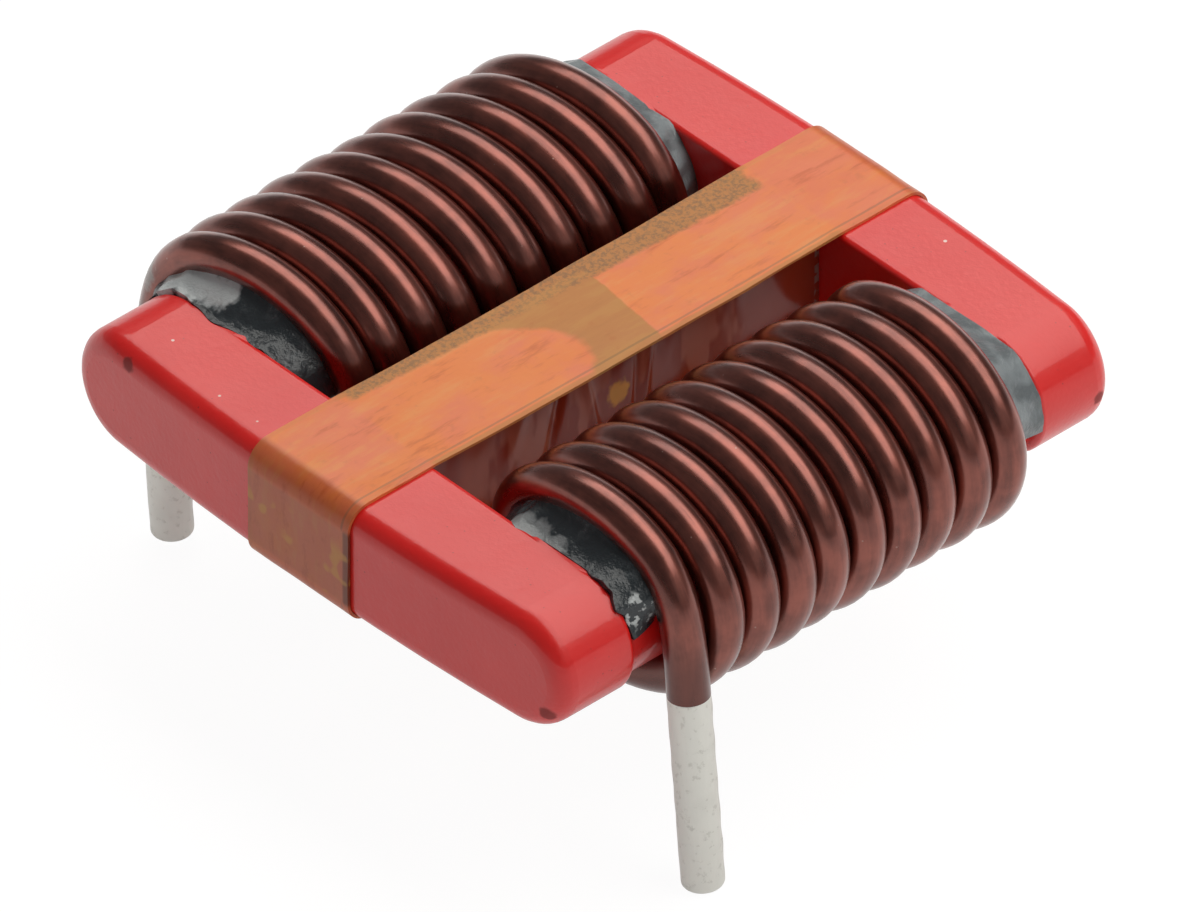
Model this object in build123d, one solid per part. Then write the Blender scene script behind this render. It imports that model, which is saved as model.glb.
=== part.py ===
from build123d import *
import os
from math import cos, radians, sin

# Common mode choke: two U cores closed into a flat frame, a winding on each leg, four tinned leads.
# Millimetres, +Z up. X runs along the legs, from the near yoke (-X) to the far yoke (+X), and Y runs along
# the yokes, from the front winding (-Y) to the rear winding (+Y). The choke stands on its four lead tips,
# and the origin lies on that plane, under the middle of the core.

# Core: two U halves that butt at the middle of each leg
core_length = 28.0
core_width = 26.0
core_thickness = 4.9
yoke_depth = 4.15
yoke_bow = 0.6
yoke_edge_round = 0.85
yoke_inner_round = 0.25
leg_width = 7.0
leg_inset = 0.4
stand_height = 10.35

# Windings: round enamelled wire, in one layer on each leg
wire_diameter = 1.6
top_slack = 0.45
side_slack = 0.4
turn_pitch = 1.718
front_offset = 0.32
front_gap = 0.9
rear_offset = -0.22
rear_gap = 0.41
far_gap = 0.6
turn_step_deg = 45
end_pull_share = 0.5

# Leads: bare copper under a coat of solder
copper_diameter = 1.5
copper_tip_diameter = 1.3
lead_rise = 1.2
lead_enamel = 1.75
flare_length = 1.6
solder_lip = 0.02
tip_round = 0.22
front_lean_deg = 5.5
rear_lean_deg = -4.5

# Adhesive wedges between the windings and the yokes
bead_toe = 0.12
bead_height = 1.15
bead_drop = 0.6
bead_clearance = 0.12

# Tape round both yokes, and the film that stands between the windings
tape_width = 5.3
tape_offset = 0.2
tape_thickness = 0.13
film_thickness = 0.25
film_offset = -1.25
film_clearance = 0.04

half_length = core_length / 2
half_width = core_width / 2
yoke_inner = half_length - yoke_depth
wire_radius = wire_diameter / 2
coil_rise = core_thickness / 2 + wire_radius + top_slack
coil_reach = leg_width / 2 + wire_radius + side_slack
leg_offset = half_width - leg_inset - leg_width / 2
solder_thickness = (wire_diameter - copper_tip_diameter) / 2
tinned_length = stand_height - lead_rise - lead_enamel
whole_turns = int((2 * yoke_inner - front_gap - far_gap - wire_diameter) / turn_pitch)
last_angle_deg = whole_turns * 360 + 180
NEAR, FAR = -1, 1
FRONT, REAR = -1, 1
SIDES = {"front": FRONT, "rear": REAR}
ENDS = {"near": NEAR, "far": FAR}
GAPS = {FRONT: front_gap, REAR: rear_gap}
OFFSETS = {FRONT: front_offset, REAR: rear_offset}
LEANS = {(FRONT, NEAR): front_lean_deg, (REAR, NEAR): rear_lean_deg}


def slot_at(x, y, grow):
    """The leg's section, grown by a margin all round, as a face across X."""
    plane = Plane(origin=(x, y, stand_height), x_dir=(0, 1, 0), z_dir=(1, 0, 0))
    return plane * SlotOverall(leg_width + 2 * grow, core_thickness + 2 * grow)


def core_half(end):
    """One U: a bowed yoke with full-round ends and rounded edges, and two round-sided legs up to the middle."""
    corner = yoke_bow - half_length
    outer = ThreePointArc((corner, half_width), (-half_length, 0), (corner, -half_width))
    inner = Polyline((corner, -half_width), (-yoke_inner, -half_width), (-yoke_inner, half_width), (corner, half_width))
    plan = extrude(make_face(outer + inner), amount=core_thickness, both=True)
    section = extrude(Plane.YZ * SlotOverall(core_width, core_thickness), amount=core_length, both=True)
    yoke = plan & section
    yoke = fillet(yoke.faces().sort_by(Axis.X)[0].edges(), yoke_edge_round)
    yoke = fillet(yoke.faces().sort_by(Axis.X)[-1].edges(), yoke_inner_round)
    half = Pos(0, 0, stand_height) * yoke
    for side in SIDES.values():
        rooted = slot_at(-half_length + yoke_depth / 2, side * leg_offset, 0)
        half += extrude(rooted, amount=half_length - yoke_depth / 2)
    return half if end == NEAR else half.mirror(Plane.YZ)


def turn_x(side, angle):
    """Where the wire's centre lies along the leg, at an angle in degrees from the winding's outer side."""
    start = GAPS[side] + wire_radius - yoke_inner
    return start + turn_pitch * angle / 360 + OFFSETS[side] * (cos(radians(angle)) - 1)


def turn_point(side, angle):
    """A point on the wire's centre line: 0 degrees is the outer side, 90 the top, 180 the inner side."""
    across = leg_offset + coil_reach * cos(radians(angle))
    return Vector(turn_x(side, angle), side * across, stand_height + coil_rise * sin(radians(angle)))


def lead_axis(side, end):
    """A lead's top, where it leaves the turns, its tip's centre and the unit vector from the tip up."""
    lean = radians(LEANS.get((side, end), 0))
    top = turn_point(side, 0 if end == NEAR else last_angle_deg) - Vector(0, 0, lead_rise)
    lift = (wire_radius - tip_round) * abs(sin(lean)) + tip_round * (1 - cos(lean))
    up = Vector(0, -side * sin(lean), cos(lean))
    tip = top - up * ((top.Z - lift) / up.Z)
    return top, tip, up


def lead_rod(side, end, diameter, start, stop):
    """A round rod along a lead, between two distances from its tip."""
    _, tip, up = lead_axis(side, end)
    plane = Plane(origin=tip + up * start, z_dir=up)
    return extrude(plane * Circle(diameter / 2), amount=stop - start)


def winding(side):
    """One wire: near lead, turns over the top towards the inner side, and far lead, with bare copper ends."""
    near_top, near_tip, near_up = lead_axis(side, NEAR)
    far_top, far_tip, far_up = lead_axis(side, FAR)
    points = [turn_point(side, angle) for angle in range(turn_step_deg, last_angle_deg, turn_step_deg)]
    pulls = (end_pull_share, end_pull_share)
    turns = Spline(near_top, *points, far_top, tangents=(near_up, far_up * -1), tangent_scalars=pulls)
    wire = sweep(Plane(origin=near_top, z_dir=near_up) * Circle(wire_radius), path=turns, is_frenet=True)
    for end in ENDS.values():
        top, tip, _ = lead_axis(side, end)
        wire += lead_rod(side, end, wire_diameter, tinned_length, (top - tip).length)
        wire += bare_end(side, end)
    return wire


def lead_cone(side, end, start, stop, low, high):
    """A round taper along a lead, between two distances from its tip, by its two diameters."""
    _, tip, up = lead_axis(side, end)
    seat = Plane(origin=tip + up * start, z_dir=up)
    return seat * Cone(low / 2, high / 2, stop - start, align=(Align.CENTER, Align.CENTER, Align.MIN))


def bare_end(side, end):
    """A lead's stripped copper end, which tapers towards the tip, where the solder lies thickest."""
    return lead_cone(side, end, solder_thickness, tinned_length, copper_tip_diameter, copper_diameter)


def solder_coat(side, end):
    """The solder on one lead end: a sleeve with a closed, rounded tip, which flares to wet the enamel's edge."""
    flare_start = tinned_length - flare_length
    rod = lead_rod(side, end, wire_diameter, 0, flare_start)
    coat = fillet(rod.edges().sort_by(Axis.Z)[0], tip_round)
    coat += lead_cone(side, end, flare_start, tinned_length, wire_diameter, wire_diameter + 2 * solder_lip)
    return coat - bare_end(side, end)


def adhesive_bead(side, end):
    """A wedge on the leg's upper side, from a thin toe at the yoke up against the first or last turn."""
    first = 0 if end == NEAR else last_angle_deg - 180
    reach = end * (wire_radius + bead_clearance)
    outer_x = turn_x(side, first) + reach
    inner_x = turn_x(side, first + 180) + reach
    y = side * leg_offset
    heel = min(outer_x, inner_x) if end == FAR else max(outer_x, inner_x)
    wedge = loft([slot_at(end * yoke_inner, y, bead_toe), slot_at(heel, y, bead_height)])
    wedge -= extrude(slot_at(end * half_length, y, 0), amount=-end * core_length)
    outer_y = side * (leg_offset + coil_reach)
    inner_y = side * (leg_offset - coil_reach)
    along = Vector(inner_x - outer_x, inner_y - outer_y, 0)
    away = Vector(along.Y, -along.X, 0) * -side
    face = Plane(origin=(outer_x, outer_y, stand_height), z_dir=away)
    wedge = split(wedge, bisect_by=face, keep=Keep.BOTTOM if end == NEAR else Keep.TOP)
    return split(wedge, bisect_by=Plane((0, 0, stand_height + bead_drop)), keep=Keep.TOP)


def binding_tape():
    """The tape as one closed band, wound round both yokes along X and pulled flat over the window."""
    plane = Plane(origin=(0, tape_offset + tape_width / 2, stand_height), x_dir=(1, 0, 0), z_dir=(0, -1, 0))
    around = RectangleRounded(core_length, core_thickness, yoke_edge_round)
    skin = RectangleRounded(
        core_length + 2 * tape_thickness, core_thickness + 2 * tape_thickness, yoke_edge_round + tape_thickness
    )
    return extrude(plane * (skin - around), amount=tape_width)


def winding_barrier():
    """The film that stands on edge in the window, between the tape's two runs."""
    length = 2 * (yoke_inner - film_clearance)
    return Pos(0, film_offset, stand_height) * Box(length, film_thickness, core_thickness)


def main():
    nodes = {"binding_tape": binding_tape(), "winding_barrier": winding_barrier()}
    for end_name, end in ENDS.items():
        nodes[f"core_half_{end_name}"] = core_half(end)
    for side_name, side in SIDES.items():
        nodes[f"winding_{side_name}"] = winding(side)
        for end_name, end in ENDS.items():
            nodes[f"solder_coat_{side_name}_{end_name}"] = solder_coat(side, end)
            nodes[f"adhesive_{side_name}_{end_name}"] = adhesive_bead(side, end)
    os.makedirs("parts", exist_ok=True)
    for name, solid in nodes.items():
        export_step(solid, f"parts/{name}.step")


main()
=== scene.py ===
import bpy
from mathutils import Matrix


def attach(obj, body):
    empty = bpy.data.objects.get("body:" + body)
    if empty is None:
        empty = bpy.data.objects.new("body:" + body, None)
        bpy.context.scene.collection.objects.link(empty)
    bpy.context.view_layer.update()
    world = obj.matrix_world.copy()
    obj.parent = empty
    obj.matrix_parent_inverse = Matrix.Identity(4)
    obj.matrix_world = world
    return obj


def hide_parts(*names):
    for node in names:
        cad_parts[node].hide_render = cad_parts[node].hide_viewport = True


bl_info = {
    "name": "Common Mode Choke",
    "version": (1, 0, 0),
    "blender": (4, 5, 0),
    "location": "View3D > Sidebar > Choke",
    "description": "Dresses a wound choke: coated core, enamelled wire, tinned leads, tape, film and adhesive",
    "category": "Object",
}

import bmesh
import bpy
import numpy as np
from bpy.props import FloatProperty, FloatVectorProperty, PointerProperty
from mathutils import Matrix, Vector

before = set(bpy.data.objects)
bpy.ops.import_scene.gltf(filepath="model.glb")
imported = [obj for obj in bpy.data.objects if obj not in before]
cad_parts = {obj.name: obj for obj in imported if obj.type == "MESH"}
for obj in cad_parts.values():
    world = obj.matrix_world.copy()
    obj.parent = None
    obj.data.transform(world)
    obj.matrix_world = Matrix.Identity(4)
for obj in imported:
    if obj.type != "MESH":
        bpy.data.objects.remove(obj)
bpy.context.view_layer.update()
MM = 0.001
WARM_WHITE = (1.0, 0.975, 0.925)
NEAR, FAR = -1, 1
SIDES = {"front": -1, "rear": 1}
ENDS = {"near": NEAR, "far": FAR}

# Spots on the surfaces: x, y, z and radius, in millimetres
GRAINS = ((-11.9, 9.3, 12.8, 0.08), (-12.8, 5.8, 12.75, 0.08), (-12.8, 3.8, 12.75, 0.08), (12.4, -5.2, 12.8, 0.08))
CHIPS = ((-13.75, 9.85, 12.35, 0.42), (-13.4, -12.2, 9.2, 0.4), (12.7, -12.9, 10.0, 0.34))
WIRE_SMEAR = (-9.3, 14.1, 12.0, 1.0)
# Painted highlight: a glossy grey reflection on the near rear bead of adhesive.
HIGHLIGHT_PATCHES = ((-9.4, 12.2, 12.95, 1.1), (-9.3, 10.95, 13.25, 1.1), (-9.3, 9.7, 13.6, 0.9))
PALE_SMEARS = ((-9.85, -7.7, 12.9, 0.7), (-9.85, -6.9, 12.8, 0.7), (-9.85, -8.6, 12.9, 0.6))
PALE_FLAKES = (-9.4, -12.6, 12.0, 0.8)

# Creases of the film: height, place along the window, slant and width, in millimetres
CREASES = (
    (0.10, -3.1, 0.25, 0.22), (-0.09, -1.3, -0.2, 0.18), (0.08, 0.9, 0.05, 0.14), (-0.07, 1.4, 0.1, 0.16),
    (-0.06, -5.2, 0.4, 0.4),
)


def tint(red, green, blue):
    """A colour given as it looks on a screen, 0 to 255, as linear light."""
    c = np.array((red, green, blue)) / 255
    return tuple(float(v) for v in np.where(c <= 0.04045, c / 12.92, ((c + 0.055) / 1.055) ** 2.4))


def length(label, text, value):
    """A size in millimetres as a property in metres."""
    return FloatProperty(name=label, description=text, default=value * MM, unit="LENGTH", precision=6)


def paint(label, text, red, green, blue):
    """A screen colour as a colour property."""
    return FloatVectorProperty(
        name=label, description=text, default=tint(red, green, blue), subtype="COLOR", size=3, min=0, max=1
    )


def angle(label, text, degrees):
    """An angle in degrees as a property in radians."""
    return FloatProperty(name=label, description=text, default=float(np.radians(degrees)), subtype="ANGLE")


class ChokeCore(bpy.types.PropertyGroup):
    """Sizes of the core that other pieces rest on, and the colours of its coat."""

    length: length("Length", "Core length over both yokes", 28.0)
    thickness: length("Thickness", "Core thickness", 4.9)
    yoke_depth: length("Yoke depth", "Depth of a yoke along the legs", 4.15)
    edge_round: length("Edge round", "Round of the yokes' outer edges", 0.85)
    leg_width: length("Leg width", "Width of a wound leg", 7.0)
    leg_offset: length("Leg offset", "Distance of a leg's axis from the middle", 9.1)
    stand_height: length("Stand height", "Height of the core's middle over the lead tips", 10.35)
    coat: paint("Coat", "Epoxy coat", 228, 22, 20)
    coat_thin: paint("Thin coat", "Coat where it lies thinner", 234, 32, 28)
    grain: paint("Grain", "Pale grains in the coat", 246, 214, 206)
    soot: paint("Speck", "Specks and chips in the coat", 70, 30, 26)


class ChokeWire(bpy.types.PropertyGroup):
    """Sizes of the windings and the colours of the enamelled wire."""

    diameter: length("Wire", "Diameter over the enamel", 1.6)
    coil_rise: length("Coil rise", "Half height of the wire's centre line", 3.7)
    coil_reach: length("Coil reach", "Half width of the wire's centre line", 4.7)
    pitch: length("Pitch", "Advance of one turn", 1.718)
    front_offset: length("Front offset", "How far a front turn's outer side runs ahead of its middle", 0.32)
    front_gap: length("Front gap", "From the near yoke to the front winding", 0.9)
    front_lean: angle("Front lean", "Outward lean of the front near lead", 5.5)
    rear_offset: length("Rear offset", "How far a rear turn's outer side runs ahead of its middle", -0.22)
    rear_gap: length("Rear gap", "From the near yoke to the rear winding", 0.41)
    rear_lean: angle("Rear lean", "Outward lean of the rear near lead", -4.5)
    turns: FloatProperty(name="Turns", description="Turns of each winding", default=9.5)
    rise: length("Lead rise", "From a lead's straight run to the core's middle", 1.2)
    enamel: paint("Enamel", "Enamel over copper", 147, 80, 67)
    # Deep enamel is also painted reflection: dark blotches where the neighbouring turns are mirrored in the wire.
    deep_enamel_and_reflection: paint("Deep enamel", "Enamel where it is thicker", 104, 53, 44)
    # Painted shade: colour for the first turn's lower part, above its lead, where it reflects less light.
    lead_shade: paint("Browned", "Enamel above a dipped lead", 82, 42, 35)
    dust: paint("Dust", "Dust on the enamel", 190, 160, 150)
    smear: paint("Smear", "Smear of adhesive on the first rear turn", 190, 188, 182)


class ChokeLead(bpy.types.PropertyGroup):
    """Sizes and colours of the tinned lead ends."""

    tinned: length("Tinned length", "Length of the tinned end", 8.25)
    tip_round: length("Tip round", "Round of the lead's tip", 0.22)
    tin: paint("Tin", "Solder", 230, 229, 222)
    tin_dull: paint("Dull tin", "Dull spots on the solder", 204, 202, 195)


class ChokeTape(bpy.types.PropertyGroup):
    """Sizes and colours of the binding tape."""

    width: length("Width", "Tape width", 5.3)
    offset: length("Offset", "Tape's middle from the core's middle", 0.2)
    thickness: length("Thickness", "Tape thickness", 0.13)
    amber: paint("Amber", "Tape where it has wetted out", 242, 136, 66)
    rose: paint("Rose", "Tape over the red coat", 238, 128, 86)
    dry: paint("Dry", "Tape that has lifted off its glue", 194, 136, 80)
    fibre: paint("Fibre", "Light fibres", 240, 158, 90)
    streak: paint("Streak", "Dark streaks between the fibres", 198, 84, 30)
    speckle: paint("Speckle", "Speckles along the lifted rear edge", 118, 98, 78)
    straw: paint("Straw", "Light fibres in the lifted patch", 208, 150, 84)
    mottle: paint("Mottle", "Fine mottling", 190, 100, 60)
    # Bend and Side are painted shade: the tape darkened round the yokes' rounded edges and on their outer faces,
    # which face away from the light.
    bend: paint("Bend", "Tape round a yoke's edge", 150, 50, 24)
    side: paint("Side", "Tape on a yoke's outer face", 150, 84, 66)
    rim: paint("Rim", "Front rim of the tape on a yoke's outer face", 84, 34, 18)
    hem: paint("Hem", "Line along the front edge", 120, 92, 70)
    gold: paint("Gold", "Glue spots on a yoke's outer face", 206, 150, 66)


class ChokeFilm(bpy.types.PropertyGroup):
    """Sizes and colours of the film between the windings."""

    offset: length("Offset", "Film's place across the window", -1.25)
    thickness: length("Thickness", "Film thickness", 0.25)
    clearance: length("Clearance", "Gap to the yokes", 0.04)
    brown: paint("Brown", "Film", 150, 50, 24)
    # Painted reflection: dull streaks where the film mirrors bright light.
    painted_sheen: paint("Sheen", "Film where it shines dully", 182, 100, 78)
    amber: paint("Amber", "Film where light comes through", 222, 146, 4)
    # Glue is pale glue with painted highlights on it, dotted along the film's far end.
    glue: paint("Glue", "Glue at the film's far end", 150, 140, 136)


class ChokeAdhesive(bpy.types.PropertyGroup):
    """Sizes and colours of the adhesive at the windings' ends."""

    drop: length("Drop", "How far the bead's top lies inside the wire's centre line", 0.15)
    near_spill: length("Near spill", "How far the near beads run over the yoke's edge", 0.2)
    far_spill: length("Far spill", "How far the far beads run over the yoke's edge", 0.04)
    front_end: angle("Front end", "Where the front near bead ends, up from the leg's outer side", 16)
    other_end: angle("Other ends", "Where the other beads end, up from the leg's outer side", -8)
    black: paint("Black", "Adhesive", 50, 56, 60)
    # This grey also colours a painted highlight: the glossy patch on the near rear bead.
    bloom_and_highlight: paint("Bloom", "Grey smears on the adhesive", 152, 160, 164)
    # Pale is also laid over the painted highlight patch on the near rear bead.
    pale: paint("Pale", "Pale smears on the adhesive", 206, 211, 212)


class ChokeStage(bpy.types.PropertyGroup):
    """The camera and the light."""

    azimuth: angle("Azimuth", "Camera's azimuth", -42.57)
    elevation: angle("Elevation", "Camera's elevation", 38.373)
    distance: length("Distance", "Camera's distance from the core's middle", 1178.0)
    lens: FloatProperty(name="Lens", description="Focal length in millimetres", default=1000.0)
    raise_by: length("Raise", "How far above the picture's middle the core's middle shows", 2.969)
    aside: length("Aside", "How far right of the picture's middle the core's middle shows", 0.083)
    floor: paint("Floor", "Table top", 246, 246, 246)


class ChokeSettings(bpy.types.PropertyGroup):
    """All settings of the choke."""

    core: PointerProperty(type=ChokeCore)
    wire: PointerProperty(type=ChokeWire)
    lead: PointerProperty(type=ChokeLead)
    tape: PointerProperty(type=ChokeTape)
    film: PointerProperty(type=ChokeFilm)
    adhesive: PointerProperty(type=ChokeAdhesive)
    stage: PointerProperty(type=ChokeStage)


class Value:
    """A socket that takes part in sums: each operator on it adds one Math node."""

    def __init__(self, finish, socket):
        self.finish, self.socket = finish, socket

    def math(self, operation, first, *rest):
        sockets = dict(enumerate((first,) + rest))
        return self.finish.node("ShaderNodeMath", {"operation": operation}, sockets)

    def __add__(self, other):
        return self.math("ADD", self, other)

    def __sub__(self, other):
        return self.math("SUBTRACT", self, other)

    def __rsub__(self, other):
        return self.math("SUBTRACT", other, self)

    def __mul__(self, other):
        return self.math("MULTIPLY", self, other)

    def __abs__(self):
        return self.math("ABSOLUTE", self)

    __radd__ = __add__

    def least(self, other):
        return self.math("MINIMUM", self, other)

    def most(self, other):
        return self.math("MAXIMUM", self, other)

    def step(self, low, high):
        """0 below low, 1 above high and a smooth rise between them; the other way round if low is the higher."""
        sockets = {0: self, 1: low, 2: high, 3: 0.0, 4: 1.0}
        if low > high:
            sockets = {0: self, 1: high, 2: low, 3: 1.0, 4: 0.0}
        return self.finish.node("ShaderNodeMapRange", {"interpolation_type": "SMOOTHSTEP"}, sockets)


class Finish:
    """A node material in the making, with places in millimetres, or a world, with directions."""

    def __init__(self, name, world=None):
        self.material = world or bpy.data.materials.new(name)
        self.material.use_nodes = True
        self.tree = self.material.node_tree
        self.tree.nodes.clear()
        coordinates = self.node("ShaderNodeTexCoord", out="Generated" if world else "Object")
        scale = {0: coordinates, "Scale": 1.0 if world else 1 / MM}
        self.place = self.node("ShaderNodeVectorMath", {"operation": "SCALE"}, scale)
        self.x, self.y, self.z = self.parts(self.place)

    def node(self, kind, settings=None, sockets=None, out=0):
        """Adds a node, sets it up, and fills or links its sockets."""
        made = self.tree.nodes.new(kind)
        for key, value in (settings or {}).items():
            setattr(made, key, value)
        for key, value in (sockets or {}).items():
            if isinstance(value, Value):
                self.tree.links.new(value.socket, made.inputs[key])
            else:
                made.inputs[key].default_value = value
        return Value(self, made.outputs[out])

    def parts(self, vector):
        """The three numbers of a vector."""
        first = self.node("ShaderNodeSeparateXYZ", None, {0: vector})
        return [Value(self, socket) for socket in first.socket.node.outputs]

    def join(self, x, y, z):
        return self.node("ShaderNodeCombineXYZ", None, {0: x, 1: y, 2: z})

    def uv(self):
        """The piece's own map, in millimetres along and turns around."""
        return self.parts(self.node("ShaderNodeUVMap"))[:2]

    def noise(self, scale, detail=2.0, roughness=0.5, at=None):
        """Noise of 0 to 1, with features about 1/scale millimetres wide."""
        sockets = {"Vector": at or self.place, "Scale": scale, "Detail": detail, "Roughness": roughness}
        return self.node("ShaderNodeTexNoise", None, sockets)

    def cells(self, scale):
        """Distance to the nearest of scattered points, in cells of 1/scale millimetres."""
        return self.node("ShaderNodeTexVoronoi", None, {"Vector": self.place, "Scale": scale})

    def mix(self, share, first, second):
        """A colour between two, by share."""
        first, second = [c if isinstance(c, Value) else (*c, 1.0) for c in (first, second)]
        return self.node("ShaderNodeMix", {"data_type": "RGBA"}, {0: share, 6: first, 7: second}, out=2)

    def spot(self, x, y, z, radius):
        """1 inside a ball about a point in millimetres, with a soft, uneven edge, and 0 outside."""
        sockets = {0: self.place, 1: (x, y, z)}
        gap = self.node("ShaderNodeVectorMath", {"operation": "DISTANCE"}, sockets, out="Value")
        return (gap + (self.noise(2.2) - 0.5) * radius).step(radius, radius * 0.6)

    def spots(self, places):
        """1 inside any of several such balls, each given by its middle and radius."""
        found = self.spot(*places[0])
        for place in places[1:]:
            found = found.most(self.spot(*place))
        return found

    def bump(self, height, distance, normal=None):
        """A normal bent by a height field, whose relief is distance millimetres high."""
        sockets = {"Height": height, "Distance": distance * MM}
        if normal is not None:
            sockets["Normal"] = normal
        return self.node("ShaderNodeBump", None, sockets)

    def surface(self, **sockets):
        """Ends the material in one surface shader."""
        named = {key.replace("_", " ").title().replace("Ior", "IOR"): value for key, value in sockets.items()}
        return self.end(self.node("ShaderNodeBsdfPrincipled", None, named))

    def end(self, shader, kind="ShaderNodeOutputMaterial"):
        """Links a shader to the output, and gives the material or world."""
        output = self.tree.nodes.new(kind)
        self.tree.links.new(shader.socket, output.inputs["Surface"])
        return self.material


def sway(t, seed, rate, count=5, peak=1.5):
    """A smooth run of about -1 to 1 over t: a sum of sines, each faster and weaker than the one before.

    Sine k has about k * rate periods in a unit of t and the height 1/k, and the sum is divided by its usual peak.
    """
    rng = np.random.default_rng(seed)
    order = np.arange(1, count + 1)
    phase, rates = rng.uniform(0, 2 * np.pi, count), rate * order * rng.uniform(0.8, 1.25, count)
    waves = np.sin(2 * np.pi * rates * np.asarray(t, float)[..., None] + phase) / order
    return waves.sum(-1) / peak


def ripple(u, v, seed, rate, count=9, peak=1.3):
    """A smooth field of about -1 to 1 over two lengths: a sum of sines in scattered directions.

    Each has from half to twice rate periods in a unit of length, and the sum is divided by its usual peak.
    """
    rng = np.random.default_rng(seed)
    turn, phase = rng.uniform(0, 2 * np.pi, (2, count))
    rates = rate * rng.uniform(0.5, 2.0, count)
    run = u[..., None] * np.cos(turn) + v[..., None] * np.sin(turn)
    return np.sin(2 * np.pi * rates * run + phase).sum(-1) / np.sqrt(count) / peak


def skin(name, rings, along, around, sharp, loop=False):
    """A closed skin over rings of points in millimetres: ring i holds the closed profile at step i of a path.

    The path closes on itself, or its two end rings get flat caps. The map holds along and around at each corner.
    Edges that bend by more than sharp degrees stay sharp.
    """
    steps, points = rings.shape[:2]
    i, j = np.meshgrid(np.arange(steps if loop else steps - 1), np.arange(points), indexing="ij")
    i2, j2 = (i + 1) % steps, (j + 1) % points
    quads = np.stack([i * points + j, i2 * points + j, i2 * points + j2, i * points + j2], -1).reshape(-1, 4)
    caps = [] if loop else [list(range(points))[::-1], list(range((steps - 1) * points, steps * points))]
    mesh = bpy.data.meshes.new(name)
    mesh.from_pydata((rings.reshape(-1, 3) * MM).tolist(), [], quads.tolist() + caps)
    along = np.append(along, 2 * along[-1] - along[-2])
    around = np.append(around, 2 * around[-1] - around[-2])
    u = np.stack([along[i], along[i + 1], along[i + 1], along[i]], -1).reshape(-1)
    v = np.stack([around[j], around[j], around[j + 1], around[j + 1]], -1).reshape(-1)
    flat = np.zeros((len(mesh.loops), 2))
    flat[: len(u)] = np.stack([u, v], -1)
    mesh.uv_layers.new(name="UVMap").data.foreach_set("uv", flat.ravel())
    whole = bmesh.new()
    whole.from_mesh(mesh)
    bmesh.ops.recalc_face_normals(whole, faces=whole.faces)
    whole.to_mesh(mesh)
    whole.free()
    mesh.polygons.foreach_set("use_smooth", np.ones(len(mesh.polygons), bool))
    mesh.set_sharp_from_angle(angle=np.radians(sharp))
    piece = bpy.data.objects.new(name, mesh)
    bpy.context.scene.collection.objects.link(piece)
    return piece


def seat(piece, material, slot, *nodes):
    """Gives a piece its material, sets it on the part and hides the nodes that it stands for. The slot is not used.
    """
    piece.data.materials.append(material)
    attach(piece, "root")
    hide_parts(*nodes)


def red_coat(core):
    """Glossy red epoxy, wavy like orange peel, with dark specks, a few pale grains and small dark chips."""
    f = Finish("red_coat")
    peel = f.noise(1.6, detail=3.0, roughness=0.55)
    fine = f.noise(4.5)
    base = f.mix(f.noise(0.22).step(0.3, 0.7), core.coat, core.coat_thin)
    pepper = f.cells(2.4).step(0.12, 0.05) * f.noise(0.6).step(0.45, 0.6)
    base = f.mix(pepper * 0.35, base, core.soot)
    base = f.mix(f.spots(GRAINS), base, core.grain)
    chips = f.spots(CHIPS)
    base = f.mix(chips * 0.65, base, core.soot)
    rough = 0.3 + peel * 0.1 + pepper * 0.2 + chips * 0.3
    gloss = 0.42 - chips * 0.3
    wave = f.bump(f.noise(0.5, detail=1.0), 0.03)
    normal = f.bump(peel * 0.8 + fine, 0.012, wave)
    return f.surface(base_color=base, roughness=rough, normal=normal, coat_weight=gloss, coat_roughness=0.07)


def enamel(wire):
    """Brown lacquer over copper: a metal lustre under a clear coat, with faint streaks along the wire, dark
    blotches painted in as reflections of the neighbouring turns, and dust.

    Painted shade darkens the first turn low down, above its lead, where it reflects less light.
    """
    f = Finish("enamel")
    run, turn = f.uv()
    streak = f.noise(1.0, detail=3.0, roughness=0.6, at=f.join(run * 0.35, turn * 9.0, 0.0))
    # Painted reflection: this cloud darkens the enamel in blotches about a millimetre wide, standing for the
    # neighbouring turns mirrored in the wire.
    cloud = f.noise(0.9, detail=3.0, roughness=0.6)
    base = f.mix((streak * 0.7 + cloud * 0.5).step(0.4, 0.8), wire.deep_enamel_and_reflection, wire.enamel)
    # Painted shade: the first turn is darkened below about the core's middle height, above its lead.
    first_turn, dipped = f.x.step(-7.0, -7.5), f.z.step(11.4, 9.4)
    base = f.mix(first_turn * dipped * 0.75, base, wire.lead_shade)
    dust = f.cells(1.1).step(0.05, 0.02)
    base = f.mix(dust * 0.6, base, wire.dust)
    smear = f.spot(*WIRE_SMEAR)
    base = f.mix(smear * 0.5, base, wire.smear)
    rough = 0.22 + streak * 0.14 + dust * 0.3 + smear * 0.2
    normal = f.bump(streak + f.noise(3.0) * 0.6, 0.006)
    metal = 0.9 - smear * 0.8
    return f.surface(
        base_color=base, metallic=metal, roughness=rough, normal=normal, coat_weight=0.8, coat_roughness=0.22
    )


def tinned(lead):
    """Dip-tinned copper: pale satin metal with dull grey specks and shallow runs."""
    f = Finish("tinned_copper")
    speck = f.noise(3.2, detail=3.0, roughness=0.65).step(0.56, 0.68)
    broad = f.noise(0.6)
    base = f.mix(speck * 0.45, lead.tin, lead.tin_dull)
    base = f.mix(broad.step(0.55, 0.75) * 0.25, base, lead.tin_dull)
    normal = f.bump(f.noise(1.6) + speck * -0.4, 0.02)
    return f.surface(base_color=base, metallic=0.55, roughness=0.34 + speck * 0.2, normal=normal)


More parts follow.
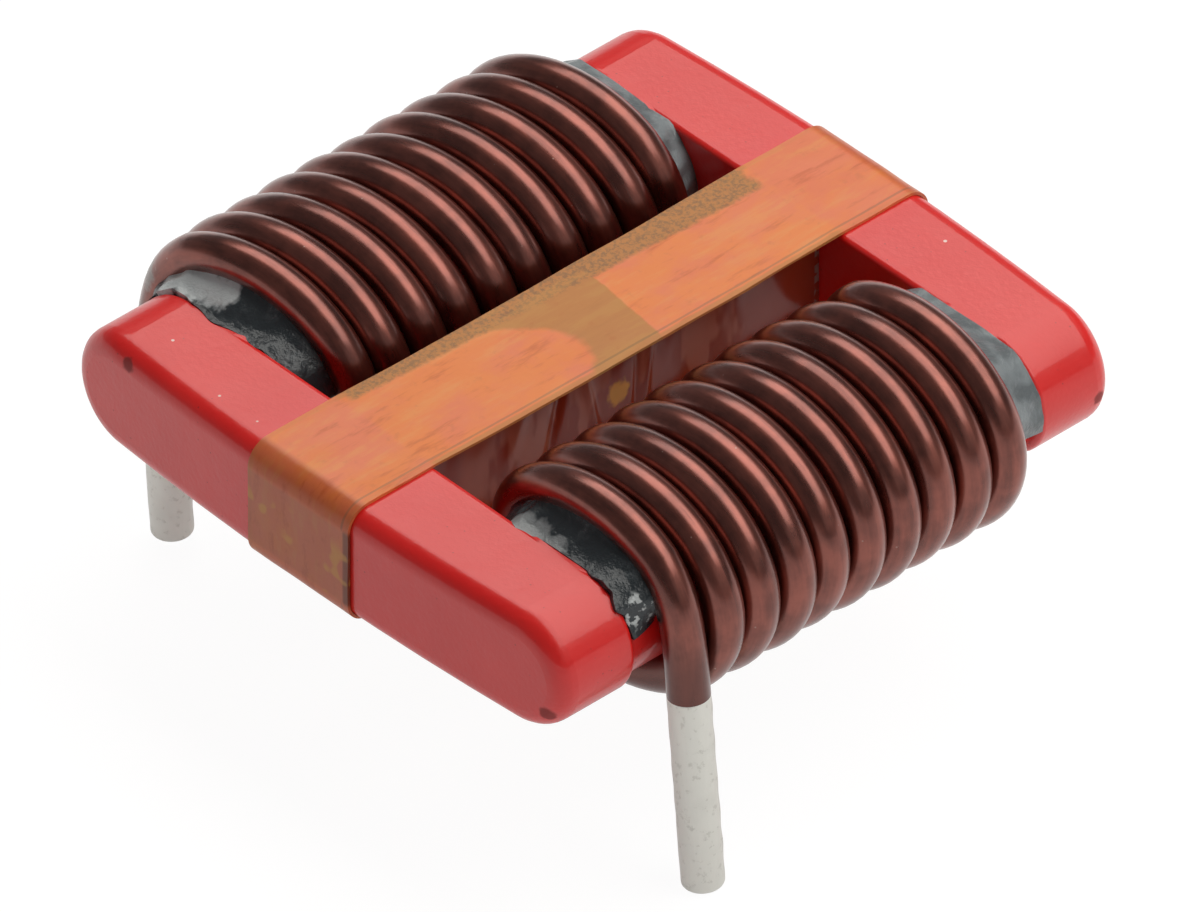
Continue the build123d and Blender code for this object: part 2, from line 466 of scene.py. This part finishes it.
def amber_tape(core, tape):
    """Glossy amber tape: orange where it has wetted out, rose over the coat, drab where it has lifted.

    It has lifted along its edges, along a strip at the rear and in a patch in the middle. Painted shade darkens it
    round the yokes' edges and on their outer faces, where a few spots of glue show golden.
    """
    f = Finish("amber_tape")
    outer, flat = core.length / 2 / MM, (core.thickness / 2 - core.edge_round) / MM
    inner, corner = outer - core.yoke_depth / MM, outer - core.edge_round / MM
    half = tape.width / 2 / MM
    height = f.z - core.stand_height / MM
    grain = f.noise(1.4, detail=4.0, roughness=0.6)
    ragged = (grain - 0.5) * 1.4
    cross = f.y - tape.offset / MM
    over_yoke = abs(f.x).step(inner - 0.1, inner + 0.25)
    cloud = f.noise(0.4, detail=4.0, roughness=0.65, at=f.join(f.x * 0.7, f.y, f.z))
    base = f.mix((cloud + over_yoke * 0.12).step(0.4, 0.7), tape.amber, tape.rose)
    fibre = f.noise(1.1, detail=4.0, roughness=0.65, at=f.join(f.x * 0.3, f.y * 1.6, f.z * 0.6))
    base = f.mix(fibre.step(0.5, 0.7) * 0.5, base, tape.fibre)
    base = f.mix(fibre.step(0.46, 0.3) * 0.5, base, tape.streak)
    edge = (abs(cross) + ragged * 0.12).step(half - 0.27, half - 0.15) * (1 - over_yoke * 0.8)
    rear = (cross + ragged * 0.25 + (f.x - 2) * 0.045).step(half - 1.2, half - 0.9)
    rear = rear * (abs(f.x) + ragged * 0.3).step(inner - 0.05, inner - 0.45)
    bow = (f.y + 0.6) * (f.y + 0.6) * 0.3
    near_edge = (f.x + bow + ragged * 0.35).step(-1.45, -0.95)
    far_edge = (f.x + f.y * -0.12 + ragged * 0.12).step(1.5, 1.36)
    patch = near_edge * far_edge
    dry = (edge * 0.6).most(rear * 0.9).most(patch * 0.85)
    base = f.mix(dry, base, tape.dry)
    base = f.mix(rear * f.noise(5.5, detail=4.0, roughness=0.7).step(0.42, 0.62) * 0.55, base, tape.speckle)
    base = f.mix(patch * fibre.step(0.48, 0.62) * 0.4, base, tape.straw)
    base = f.mix(grain.step(0.58, 0.72) * 0.2, base, tape.mottle)
    # Painted shade: darker round the yokes' rounded edges and on their outer faces, which face away from the light.
    bend = abs(f.x).step(corner, corner + 0.35) * abs(height).step(flat - 0.1, flat + 0.2)
    base = f.mix(bend * 0.45, base, tape.bend)
    side = abs(f.x).step(outer - 0.4, outer - 0.05) * (1 - bend)
    base = f.mix(side * 0.55, base, tape.side)
    base = f.mix(side * cross.step(0.35 - half, 0.2 - half) * 0.7, base, tape.rim)
    hem = (abs(cross + (half - 0.35)) + ragged * 0.05).step(0.07, 0.03) * (1 - side)
    base = f.mix(hem * 0.4, base, tape.hem)
    gold = f.noise(0.9, detail=1.0).step(0.6, 0.66) * side * height.step(1.2, 0.4)
    base = f.mix(gold * 0.6, base, tape.gold)
    rough = 0.28 + dry * 0.25 + grain * 0.08
    normal = f.bump(f.noise(0.8, detail=3.0) + grain * 0.3, 0.02)
    return f.surface(base_color=base, roughness=rough, normal=normal, specular_ior_level=0.38)


def brown_film(film):
    """Dark, very glossy film with painted reflections in dull streaks, a spot where light comes through amber, and
    glue at its far end with painted highlights on it.
    """
    f = Finish("brown_film")
    # Painted reflection: streaks of the film mirroring bright light.
    painted_sheen = f.noise(0.45, detail=3.0, roughness=0.6, at=f.join(f.x, f.y, f.z * 0.35)).step(0.46, 0.52)
    painted_sheen = painted_sheen * abs(f.x - 0.4).step(0.4, 0.8) * abs(f.x + 0.6).step(7.4, 6.6)
    base = f.mix(painted_sheen * 0.75, film.brown, film.painted_sheen)
    lit = f.spot(0.0, film.offset / MM, 10.25, radius=0.62)
    base = f.mix(lit, base, film.amber)
    # Pale glue dots at the far end, partly painted highlights on the glue.
    far_end = f.x.step(9.55, 9.65)
    glue = far_end * f.noise(2.6, detail=1.0).step(0.5, 0.6)
    base = f.mix(glue * 0.6, base, film.glue)
    rough = 0.14 + f.noise(1.0) * 0.1
    normal = f.bump(f.noise(0.35, at=f.join(f.x, f.y, f.z * 0.6)), 0.2)
    return f.surface(base_color=base, roughness=rough, normal=normal, specular_ior_level=0.25)


def black_adhesive(adhesive):
    """Black epoxy with grey smears, pale flakes and a grey patch of painted highlight on the near rear bead, and
    greyer at the far ends of the windings.
    """
    f = Finish("black_adhesive")
    smear = f.noise(0.9)
    fine = f.noise(3.2, detail=3.0, roughness=0.6)
    # Painted highlight: a glossy grey reflection on the near rear bead.
    patch = f.spots(HIGHLIGHT_PATCHES)
    pale = f.spots(PALE_SMEARS) * 0.4
    pale = pale.most(f.spot(*PALE_FLAKES) * fine.step(0.52, 0.62))
    far_beads = f.x.step(4.0, 6.0)
    grey = (far_beads * 0.7 + patch * 0.9).least(1.0) * (0.5 + smear.step(0.35, 0.6) * 0.5)
    grey = grey.most(smear.step(0.5, 0.68) * fine.step(0.35, 0.65) * 0.15)
    base = f.mix(grey, adhesive.black, adhesive.bloom_and_highlight)
    # The pale colour also goes over the painted highlight patch.
    base = f.mix(pale.most(patch * 0.95) * 0.9, base, adhesive.pale)
    normal = f.bump(f.noise(2.4, detail=3.0, roughness=0.6) + fine * 0.4, 0.08)
    return f.surface(base_color=base, roughness=0.26 + grey * 0.12, normal=normal)


def of_side(wire, side, name):
    """A winding's own size, by its side."""
    return getattr(wire, f"{'front' if side < 0 else 'rear'}_{name}")


def turn_place(wire, core, side, turn):
    """Where the wire's centre lies along the leg, at an angle from the winding's outer side."""
    start = of_side(wire, side, "gap") + wire.diameter / 2 - core.length / 2 + core.yoke_depth
    lean = of_side(wire, side, "offset") * (np.cos(turn) - 1)
    return (start + wire.pitch * turn / (2 * np.pi) + lean) / MM


def lead_line(settings, side, end):
    """A lead's tip, its top, and the unit vector from the tip up, in millimetres."""
    wire, core, lead = settings.wire, settings.core, settings.lead
    lean = of_side(wire, side, "lean") if end == NEAR else 0.0
    turn = 0.0 if end == NEAR else wire.turns * 2 * np.pi
    across = core.leg_offset + wire.coil_reach * np.cos(turn)
    top = np.array([turn_place(wire, core, side, turn), side * across / MM, (core.stand_height - wire.rise) / MM])
    flat, bend = (wire.diameter / 2 - lead.tip_round) / MM, lead.tip_round / MM
    lift = flat * abs(np.sin(lean)) + bend * (1 - np.cos(lean))
    up = np.array([0.0, -side * np.sin(lean), np.cos(lean)])
    return top - up * (top[2] - lift) / up[2], top, up


def wire_route(settings, side):
    """The wire's centre line and the way out of the coil at each point, in millimetres.

    The line runs up the near lead, along a helix whose turns lean, and down the far lead. Where a lead runs into
    the helix, the points are averaged with their neighbours until the bend is smooth.
    """
    wire, core, lead = settings.wire, settings.core, settings.lead
    step, first, left_out = 5, 15, 14  # degrees
    lead_points, bend_points, rounds = 9, 16, 14
    last = wire.turns * 2 * np.pi
    turn = np.radians(np.arange(first, np.degrees(last) - left_out, step))
    seed = 3 if side < 0 else 8
    swell = 0.03 * sway(turn, seed, 0.11)
    drift = 0.045 * sway(turn, seed + 1, 0.07)
    helix = np.stack([
        turn_place(wire, core, side, turn) + drift,
        side * (core.leg_offset / MM + (wire.coil_reach / MM + swell) * np.cos(turn)),
        core.stand_height / MM + (wire.coil_rise / MM + swell) * np.sin(turn),
    ], -1)
    runs = []
    for end in (NEAR, FAR):
        tip, top, up = lead_line(settings, side, end)
        start = tip + up * (lead.tinned / MM - 0.01)
        share = np.linspace(0, 1, lead_points)[:, None]
        runs.append(start + (top - start) * share)
    line = np.concatenate([runs[0], helix, runs[1][::-1]])
    out = np.concatenate([np.zeros(lead_points), turn, np.full(lead_points, last)])
    joint = np.ones(len(line))
    joint[bend_points:-bend_points] = 0
    joint[[0, 1, -1, -2]] = 0
    for _ in range(rounds):
        mean = (np.roll(line, 1, 0) + np.roll(line, -1, 0)) / 2
        line = line + (joint * 0.5)[:, None] * (mean - line)
    return line, np.stack([np.zeros_like(out), side * np.cos(out), np.sin(out)], -1)


def wire_skin(settings, name, side):
    """The wire: a circle carried along its route, square to it, whose radius varies slightly."""
    line, out = wire_route(settings, side)
    ahead = np.gradient(line, axis=0)
    ahead /= np.linalg.norm(ahead, axis=1, keepdims=True)
    out = out - (out * ahead).sum(1, keepdims=True) * ahead
    out /= np.linalg.norm(out, axis=1, keepdims=True)
    beside = np.cross(ahead, out)
    radius = settings.wire.diameter / 2 / MM
    step = np.linalg.norm(np.diff(line, axis=0), axis=1)
    along = np.concatenate([[0], np.cumsum(step)])
    points, uneven = 36, 0.004
    size = radius * (1 + uneven * sway(along, 21 + side, 0.12))
    around = np.linspace(0, 1, points, endpoint=False)
    ring = np.stack([np.cos(2 * np.pi * around), np.sin(2 * np.pi * around)], -1)
    spread = ring[None, :, :1] * out[:, None] + ring[None, :, 1:] * beside[:, None]
    return skin(name, line[:, None] + size[:, None, None] * spread, along, around, sharp=50)


def solder_skin(settings, name, side, end):
    """The tinned end: a circle carried up the lead, with a rounded tip, slight lumps and a lip on the enamel."""
    wire, lead = settings.wire, settings.lead
    tip, _, up = lead_line(settings, side, end)
    top, bend, radius = lead.tinned / MM, lead.tip_round / MM, wire.diameter / 2 / MM
    lip_height, lip_depth, lump, smooth_tip = 0.1, 0.03, 0.014, 0.6
    tip_rise = bend * (1 - np.cos(np.linspace(0, np.pi / 2, 8)))
    rise = np.concatenate([tip_rise, np.linspace(bend, top - lip_height, 60)[1:]])
    size = np.where(rise < bend, radius - bend + np.sqrt(np.maximum(bend**2 - (bend - rise) ** 2, 0)), radius)
    lip = np.linspace(0, np.pi / 2, 5)[1:]
    rise = np.concatenate([rise, top - lip_height + lip_height * np.sin(lip)])
    size = np.concatenate([size, radius - lip_depth + lip_depth * np.cos(lip)])
    around = np.linspace(0, 1, 40, endpoint=False)
    cosine, sine = np.cos(2 * np.pi * around), np.sin(2 * np.pi * around)
    lumps = lump * ripple(rise[:, None] + 0 * around, 5 * cosine[None] + 0 * rise[:, None], 31, 0.5)
    size = size[:, None] + lumps * np.clip(rise / smooth_tip, 0, 1)[:, None] * (size > 0)[:, None]
    first = np.array([1.0, 0.0, 0.0])
    second = np.cross(up, first)
    spread = cosine[None, :, None] * first + sine[None, :, None] * second
    rings = tip + up * rise[:, None, None] + size[:, :, None] * spread
    return skin(name, rings, rise, around, sharp=50)


def tape_skin(settings, name):
    """The tape: its thin section carried round a rounded rectangle over both yokes.

    Between the yokes the band dips slightly, and its faces and edges are a little uneven.
    """
    core, tape = settings.core, settings.tape
    play, relief, dip, uneven_dip, uneven_edge = 0.006, 0.012, 0.07, 0.02, 0.03
    steps, points, corner_points = 640, 48, 14
    half = np.array([core.length / 2, core.thickness / 2]) / MM
    bend = core.edge_round / MM
    swing = np.radians([[0, 90], [90, 180], [180, 270], [270, 360]])
    swing = np.linspace(swing[:, 0], swing[:, 1], corner_points, axis=1)
    signs = np.array([[1, 1], [-1, 1], [-1, -1], [1, -1]])
    corner = (signs * (half - bend))[:, None] + bend * np.stack([np.cos(swing), np.sin(swing)], -1)
    corner = corner.reshape(-1, 2)
    ring = np.concatenate([corner, corner[:1]])
    dist = np.concatenate([[0], np.cumsum(np.linalg.norm(np.diff(ring, axis=0), axis=1))])
    along = np.linspace(0, dist[-1], steps, endpoint=False)
    x, z = np.interp(along, dist, ring[:, 0]), np.interp(along, dist, ring[:, 1])
    ahead = np.stack([np.roll(x, -1) - np.roll(x, 1), np.roll(z, -1) - np.roll(z, 1)], -1)
    ahead /= np.linalg.norm(ahead, axis=1, keepdims=True)
    out = np.stack([ahead[:, 1], -ahead[:, 0]], -1)
    share = np.linspace(-1, 1, points)
    around = np.concatenate([share, share[::-1]])
    upper = np.concatenate([np.ones(points), np.zeros(points)])
    inner = half[0] - core.yoke_depth / MM
    free = np.clip(1 - (np.abs(x) / inner) ** 4, 0, 1)[:, None]
    reach = tape.width / 2 / MM + uneven_edge * sway(along, 41, 0.05)[:, None] * np.sign(around)
    y = tape.offset / MM + around * reach
    wave = ripple(along[:, None] + 0 * y, y, 43, 0.22)
    lift = play + upper * (tape.thickness / MM - 2 * play + relief * wave) - free * (dip + uneven_dip * wave)
    height = core.stand_height / MM + z[:, None] + lift * out[:, 1:]
    rings = np.stack([x[:, None] + lift * out[:, :1], y, height], -1)
    return skin(name, rings, along, around, sharp=55, loop=True)


def film_skin(settings, name):
    """The film: a thin upright section carried along the window, with slow waves and a few sharp creases.

    A crease is a bell curve across its line, height * exp(-(distance / width)^2).
    """
    core, film = settings.core, settings.film
    steps, points = 220, 30
    edge_gap, flat_end, thin_share = 0.12, 1.5, 0.6
    inner = (core.length / 2 - core.yoke_depth - film.clearance) / MM
    x = np.linspace(-inner, inner, steps)
    share = np.linspace(-1, 1, points)
    around = np.concatenate([share, share[::-1]])
    face = np.concatenate([-np.ones(points), np.ones(points)])
    z = around * (core.thickness / 2 / MM - edge_gap)
    crease = sum(
        height * np.exp(-(((x[:, None] - place - slant * z) / width) ** 2))
        for height, place, slant, width in CREASES
    )
    sag = 0.10 * ripple(x[:, None] + 0 * z, 0.6 * z + 0 * x[:, None], 51, 0.09)
    ends = np.clip((inner - np.abs(x)) / flat_end, 0, 1)[:, None]
    y = film.offset / MM + ends * (crease + sag) + face * film.thickness / 2 / MM * thin_share
    rings = np.stack([x[:, None] + 0 * y, y, core.stand_height / MM + z + 0 * y], -1)
    return skin(name, rings, x, around, sharp=50)


def adhesive_skin(settings, name, side, end):
    """A bead of adhesive round the upper side of a leg, between a yoke and the turn next to it.

    Its section is carried round the leg. The top runs from the yoke's edge, in a hollow curve, up against the
    wire, and the bottom lies just inside the leg. The bead thins out towards both of its ends and is lumpy.
    """
    core, wire, adhesive = settings.core, settings.wire, settings.adhesive
    first = adhesive.front_end if (side, end) == (SIDES["front"], NEAR) else adhesive.other_end
    last, fade = np.radians(188), np.radians(22)
    bite, sink, least_spill, over_yoke, lump, relief = 0.34, 0.12, 0.05, 0.02, 0.08, 0.07
    steps, points, squareness, hollow = 130, 26, 4, 1.5
    swing = np.linspace(first, last, steps)
    spins = 0.0 if end == NEAR else 2 * np.pi * (wire.turns - 0.5)
    half_leg, half_rise = core.leg_width / 2 / MM, core.thickness / 2 / MM
    flat = (half_leg - half_rise) * np.tanh(squareness * np.cos(swing))
    leg = np.stack([flat + half_rise * np.cos(swing), half_rise * np.sin(swing)], -1)
    leg_reach = np.linalg.norm(leg, axis=1)
    way = leg / leg_reach[:, None]
    oval = way * MM / np.array([wire.coil_reach, wire.coil_rise])
    turn = np.unwrap(np.arctan2(oval[:, 1], oval[:, 0]))
    wire_x = turn_place(wire, core, side, turn + spins) + end * (wire.diameter / 2 / MM - bite)
    share = np.linspace(0, 1, points)
    seed = 60 + 3 * side + end
    ends = np.clip(np.minimum(swing - first, last - swing) / fade, 0, 1)
    ends = ends * ends * (3 - 2 * ends)
    spill = (adhesive.near_spill if end == NEAR else adhesive.far_spill) / MM
    smudge = least_spill + spill * ends * np.maximum(0.3 + sway(swing, seed + 7, 0.9), 0)
    yoke_x = end * ((core.length / 2 - core.yoke_depth) / MM + smudge)
    at_yoke = np.minimum((half_rise + over_yoke) / np.maximum(way[:, 1], 0.2), leg_reach + 0.4)
    at_yoke = np.maximum(at_yoke + lump * sway(swing, seed, 0.5), leg_reach + 0.04)
    climb = 1 / np.linalg.norm(oval, axis=1) - adhesive.drop / MM
    at_wire = leg_reach + (climb - leg_reach + lump * sway(swing, seed + 20, 0.6)) * ends
    rise = share[None] ** hollow
    top = at_yoke[:, None] + (at_wire - at_yoke)[:, None] * rise
    lumps = ripple(3.4 * swing[:, None] + 0 * share, 1.5 * share[None] + 0 * swing[:, None], seed, 0.6)
    top = np.maximum(top + relief * lumps * ends[:, None] * np.sin(np.pi * share), leg_reach[:, None] - 0.02)
    x = yoke_x[:, None] + (wire_x - yoke_x)[:, None] * share
    low = np.repeat((leg_reach - sink)[:, None], points, 1)
    reach = np.concatenate([top, low[:, ::-1]], 1)
    place = np.concatenate([x, x[:, ::-1]], 1)
    rings = np.stack([
        place,
        side * (core.leg_offset / MM + reach * way[:, :1]),
        core.stand_height / MM + reach * way[:, 1:],
    ], -1)
    return skin(name, rings, 3.0 * swing, np.linspace(0, 1, 2 * points, endpoint=False), sharp=60)


class PieceMaker:
    """What the operators share: they make their pieces from the scene's settings."""

    bl_options = {"REGISTER", "UNDO"}

    def execute(self, context):
        self.make(context.scene.choke)
        return {"FINISHED"}


class CHOKE_OT_core(PieceMaker, bpy.types.Operator):
    """Coats the two core halves"""

    bl_idname = "choke.core"
    bl_label = "Core"

    def make(self, settings):
        coat = red_coat(settings.core)
        for end in ENDS:
            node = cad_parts[f"core_half_{end}"]
            node.data.materials.clear()
            node.data.materials.append(coat)


class CHOKE_OT_windings(PieceMaker, bpy.types.Operator):
    """Winds the enamelled wire on both legs"""

    bl_idname = "choke.windings"
    bl_label = "Windings"

    def make(self, settings):
        lacquer = enamel(settings.wire)
        for name, side in SIDES.items():
            piece = wire_skin(settings, f"wire_{name}", side)
            seat(piece, lacquer, "enamelled_copper", f"winding_{name}")


class CHOKE_OT_leads(PieceMaker, bpy.types.Operator):
    """Tins the four lead ends"""

    bl_idname = "choke.leads"
    bl_label = "Tinned leads"

    def make(self, settings):
        solder = tinned(settings.lead)
        for name, side in SIDES.items():
            for end_name, end in ENDS.items():
                piece = solder_skin(settings, f"tin_{name}_{end_name}", side, end)
                seat(piece, solder, "solder", f"solder_coat_{name}_{end_name}")


class CHOKE_OT_tape(PieceMaker, bpy.types.Operator):
    """Lays the binding tape round both yokes"""

    bl_idname = "choke.tape"
    bl_label = "Tape"

    def make(self, settings):
        glossy = amber_tape(settings.core, settings.tape)
        seat(tape_skin(settings, "tape_band"), glossy, "amber_tape", "binding_tape")


class CHOKE_OT_film(PieceMaker, bpy.types.Operator):
    """Stands the film between the windings"""

    bl_idname = "choke.film"
    bl_label = "Film"

    def make(self, settings):
        seat(film_skin(settings, "film_sheet"), brown_film(settings.film), "amber_film", "winding_barrier")


class CHOKE_OT_adhesive(PieceMaker, bpy.types.Operator):
    """Fills the ends of the windings with adhesive"""

    bl_idname = "choke.adhesive"
    bl_label = "Adhesive"

    def make(self, settings):
        glue = black_adhesive(settings.adhesive)
        for name, side in SIDES.items():
            for end_name, end in ENDS.items():
                piece = adhesive_skin(settings, f"bead_{name}_{end_name}", side, end)
                seat(piece, glue, "black_epoxy", f"adhesive_{name}_{end_name}")


def floor_paper(stage):
    """White paper: bright to the camera and to reflections, and still shaded where the part stands over it."""
    f = Finish("white_paper")
    seen_share, mirrored_share, brightness = 0.88, 0.5, 1.08
    rays = f.node("ShaderNodeLightPath").socket.node.outputs
    seen = Value(f, rays["Is Camera Ray"]).most(Value(f, rays["Is Transmission Ray"])) * seen_share
    seen = seen.most(Value(f, rays["Is Glossy Ray"]) * mirrored_share)
    matt = f.node("ShaderNodeBsdfDiffuse", None, {"Color": (*stage.floor, 1.0)})
    glow = f.node("ShaderNodeEmission", None, {"Color": (1.0, 1.0, 1.0, 1.0), "Strength": brightness})
    return f.end(f.node("ShaderNodeMixShader", None, {0: seen, 1: matt, 2: glow}))


def studio():
    """The room: a low white wall all round, and darker above it. Heights are sines of the elevation."""
    world = bpy.data.worlds.new("studio")
    f = Finish("studio", world)
    dark, wall_top, fade_start = 0.14, 0.12, 0.05
    level = f.z.step(wall_top, fade_start) * (1 - dark) + dark
    light = f.node("ShaderNodeBackground", None, {"Color": (1.0, 1.0, 1.0, 1.0), "Strength": level})
    return f.end(light, "ShaderNodeOutputWorld")


def softbox(name, toward, distance, size, radiance, aim):
    """A sheet of light that faces a point from a direction, at a distance in millimetres.

    Its power is radiance * pi * area, so that its own surface is as bright as radiance says.
    """
    lamp = bpy.data.lights.new(name, "AREA")
    lamp.shape, lamp.size, lamp.size_y = "RECTANGLE", size[0] * MM, size[1] * MM
    lamp.color = WARM_WHITE
    lamp.energy = radiance * np.pi * lamp.size * lamp.size_y
    away = Vector(toward).normalized()
    along = Vector((1, 0, 0)).cross(away).normalized()
    turn = Matrix((along.cross(away), along, away)).transposed()
    holder = bpy.data.objects.new(name, lamp)
    holder.matrix_world = Matrix.Translation(Vector(aim) + away * distance * MM) @ turn.to_4x4()
    bpy.context.scene.collection.objects.link(holder)


class CHOKE_OT_stage(PieceMaker, bpy.types.Operator):
    """Sets the table, the light and the camera"""

    bl_idname = "choke.stage"
    bl_label = "Stage"

    def make(self, settings):
        stage = settings.stage
        scene = bpy.context.scene
        scene.view_settings.view_transform = "Standard"
        mesh = bpy.data.meshes.new("table")
        half = 3.0  # metres
        corners = [(-half, -half, 0), (half, -half, 0), (half, half, 0), (-half, half, 0)]
        mesh.from_pydata(corners, [], [(0, 1, 2, 3)])
        mesh.materials.append(floor_paper(stage))
        table = bpy.data.objects.new("table", mesh)
        scene.collection.objects.link(table)
        middle = Vector((0, 0, settings.core.stand_height))
        beyond = Vector((145, -25, 0)) * MM
        softbox("top_softbox", (0, 0, 1), distance=260, size=(250, 610), radiance=2.45, aim=middle + beyond)
        in_front = (0.15, -0.85, 0.42)
        softbox("front_softbox", in_front, distance=260, size=(260, 110), radiance=0.3, aim=middle)
        scene.world = studio()
        lens = bpy.data.cameras.new("camera")
        lens.lens, lens.sensor_width, lens.clip_start, lens.clip_end = stage.lens, 36.0, 0.01, 20.0
        camera = bpy.data.objects.new("camera", lens)
        turn, rise = stage.azimuth, stage.elevation
        back = Vector((np.sin(turn) * np.cos(rise), -np.cos(turn) * np.cos(rise), np.sin(rise)))
        right = Vector((np.cos(turn), np.sin(turn), 0))
        above = back.cross(right)
        place = middle + back * stage.distance
        look = (place - (middle - above * stage.raise_by - right * stage.aside)).normalized()
        side = Vector((0, 0, 1)).cross(look).normalized()
        facing = Matrix((side, look.cross(side), look)).transposed()
        camera.matrix_world = Matrix.Translation(place) @ facing.to_4x4()
        scene.collection.objects.link(camera)
        scene.camera = camera


PIECES = (CHOKE_OT_core, CHOKE_OT_windings, CHOKE_OT_leads, CHOKE_OT_tape, CHOKE_OT_film, CHOKE_OT_adhesive)


class CHOKE_PT_panel(bpy.types.Panel):
    """Lists the choke's pieces and its stage"""

    bl_label = "Choke"
    bl_space_type = "VIEW_3D"
    bl_region_type = "UI"
    bl_category = "Choke"

    def draw(self, context):
        for maker in PIECES + (CHOKE_OT_stage,):
            self.layout.operator(maker.bl_idname)


CLASSES = (
    ChokeCore, ChokeWire, ChokeLead, ChokeTape, ChokeFilm, ChokeAdhesive, ChokeStage, ChokeSettings,
    *PIECES, CHOKE_OT_stage, CHOKE_PT_panel,
)


def register():
    for entry in CLASSES:
        bpy.utils.register_class(entry)
    bpy.types.Scene.choke = PointerProperty(type=ChokeSettings)


def unregister():
    del bpy.types.Scene.choke
    for entry in reversed(CLASSES):
        bpy.utils.unregister_class(entry)


def main():
    register()
    bpy.ops.choke.stage()
    bpy.ops.choke.core()
    bpy.ops.choke.windings()
    bpy.ops.choke.leads()
    bpy.ops.choke.tape()
    bpy.ops.choke.film()
    bpy.ops.choke.adhesive()
    bpy.context.view_layer.update()


if __name__ == "__main__":
    main()
